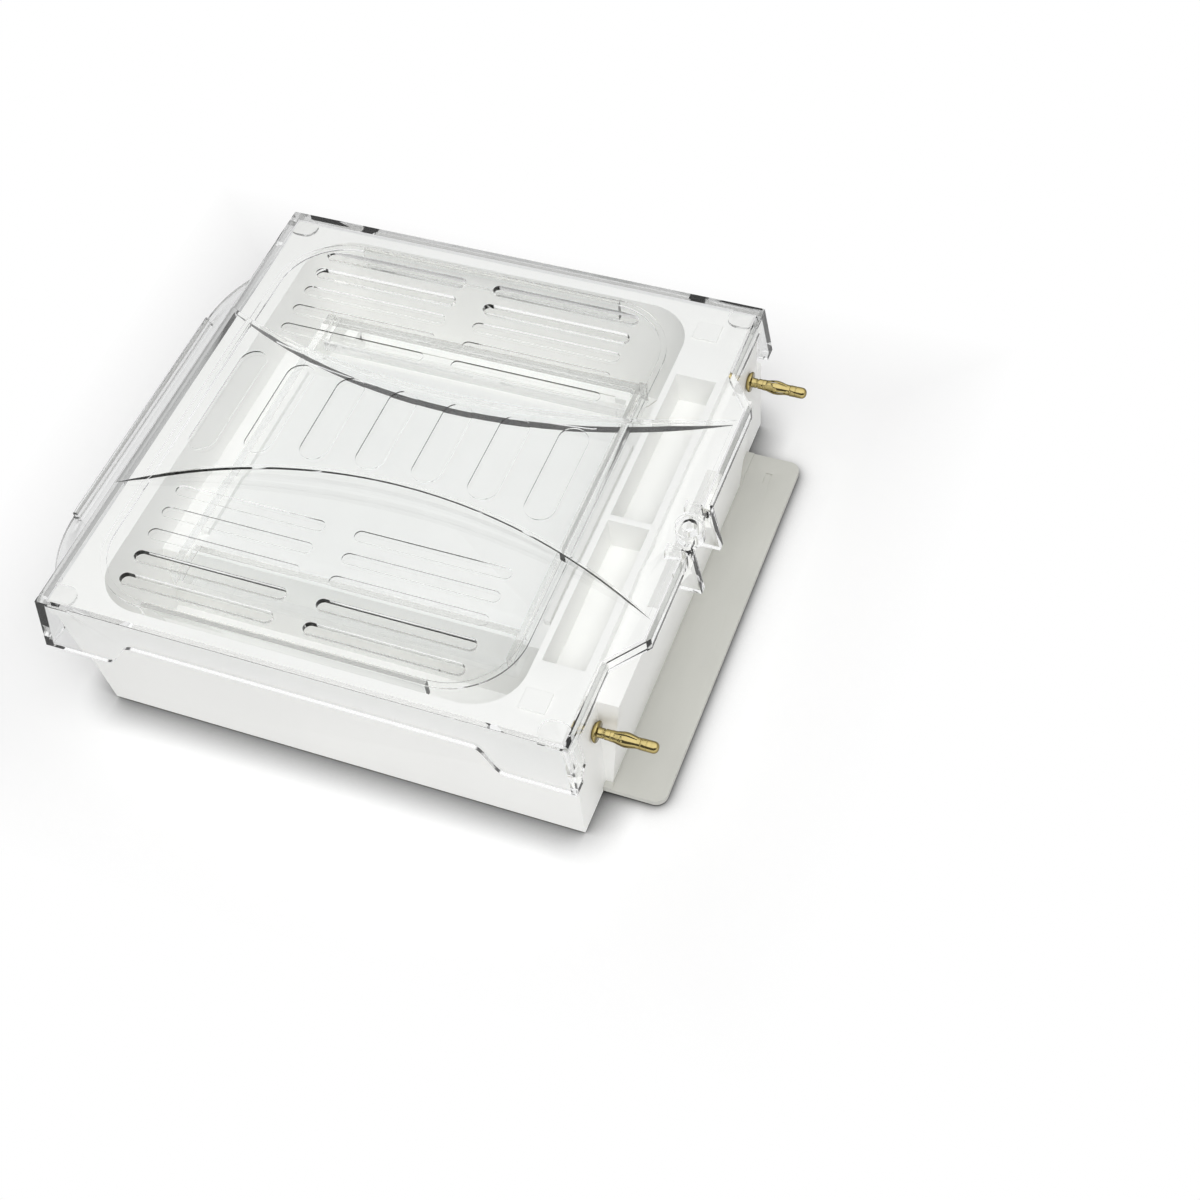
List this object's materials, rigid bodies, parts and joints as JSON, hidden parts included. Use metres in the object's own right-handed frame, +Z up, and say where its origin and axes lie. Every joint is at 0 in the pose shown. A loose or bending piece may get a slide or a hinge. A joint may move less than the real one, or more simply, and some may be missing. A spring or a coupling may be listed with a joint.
{
  "type": "horizontal electrophoresis tank",
  "caption": "Low white buffer tank with a clear lift-off lid, a clear gel tray on a raised table, a platinum wire in each reservoir and banana plugs on one side.",
  "frame": {"origin": "under the middle of the overall length and depth, on the bench", "axes": "+X from the lid's finger grip towards the plugs and dock plate, +Y from the plus plug's side to the minus plug's side, +Z up"},
  "size_m": [0.2264, 0.1982, 0.064],
  "materials": {
    "white": "satin",
    "clear": "clear polished",
    "plate_grey": "matt",
    "gold": "gold plated",
    "steel": "plain",
    "platinum": "bright wire",
    "rubber": "matt"
  },
  "bodies": {
    "tank": {"tank_body": "white", "dock_plate": "plate_grey", "plate_screws": "steel", "rubber_feet": "rubber", "anode_plug": "gold", "anode_spring": "gold", "anode_nuts": "steel", "anode_washer": "steel", "anode_strip": "steel", "anode_post": "steel", "anode_seal": "rubber", "anode_wire": "platinum", "anode_holders": "white", "anode_cap": "white", "cathode_plug": "gold", "cathode_spring": "gold", "cathode_nuts": "steel", "cathode_washer": "steel", "cathode_strip": "steel", "cathode_post": "steel", "cathode_seal": "rubber", "cathode_wire": "platinum", "cathode_holders": "white", "cathode_cap": "white"},
    "lid": {"lid": "clear"},
    "tray": {"gel_tray": "clear"},
    "front_dam": {"front_dam": "clear"},
    "back_dam": {"back_dam": "clear"}
  },
  "joints": [
    {"name": "lid_lift", "type": "slide", "parent": "tank", "child": "lid", "axis": [0, 0, 1], "range_m": [0, 0.13]},
    {"name": "tray_lift", "type": "slide", "parent": "tank", "child": "tray", "axis": [0, 0, 1], "range_m": [0, 0.065]},
    {"name": "front_dam_lift", "type": "slide", "parent": "tray", "child": "front_dam", "axis": [0, 0, 1], "range_m": [0, 0.01]},
    {"name": "back_dam_lift", "type": "slide", "parent": "tray", "child": "back_dam", "axis": [0, 0, 1], "range_m": [0, 0.01]}
  ],
  "couplings": [
    {"joint": "tray_lift", "follows": "lid_lift", "ratio": 0.5}
  ]
}
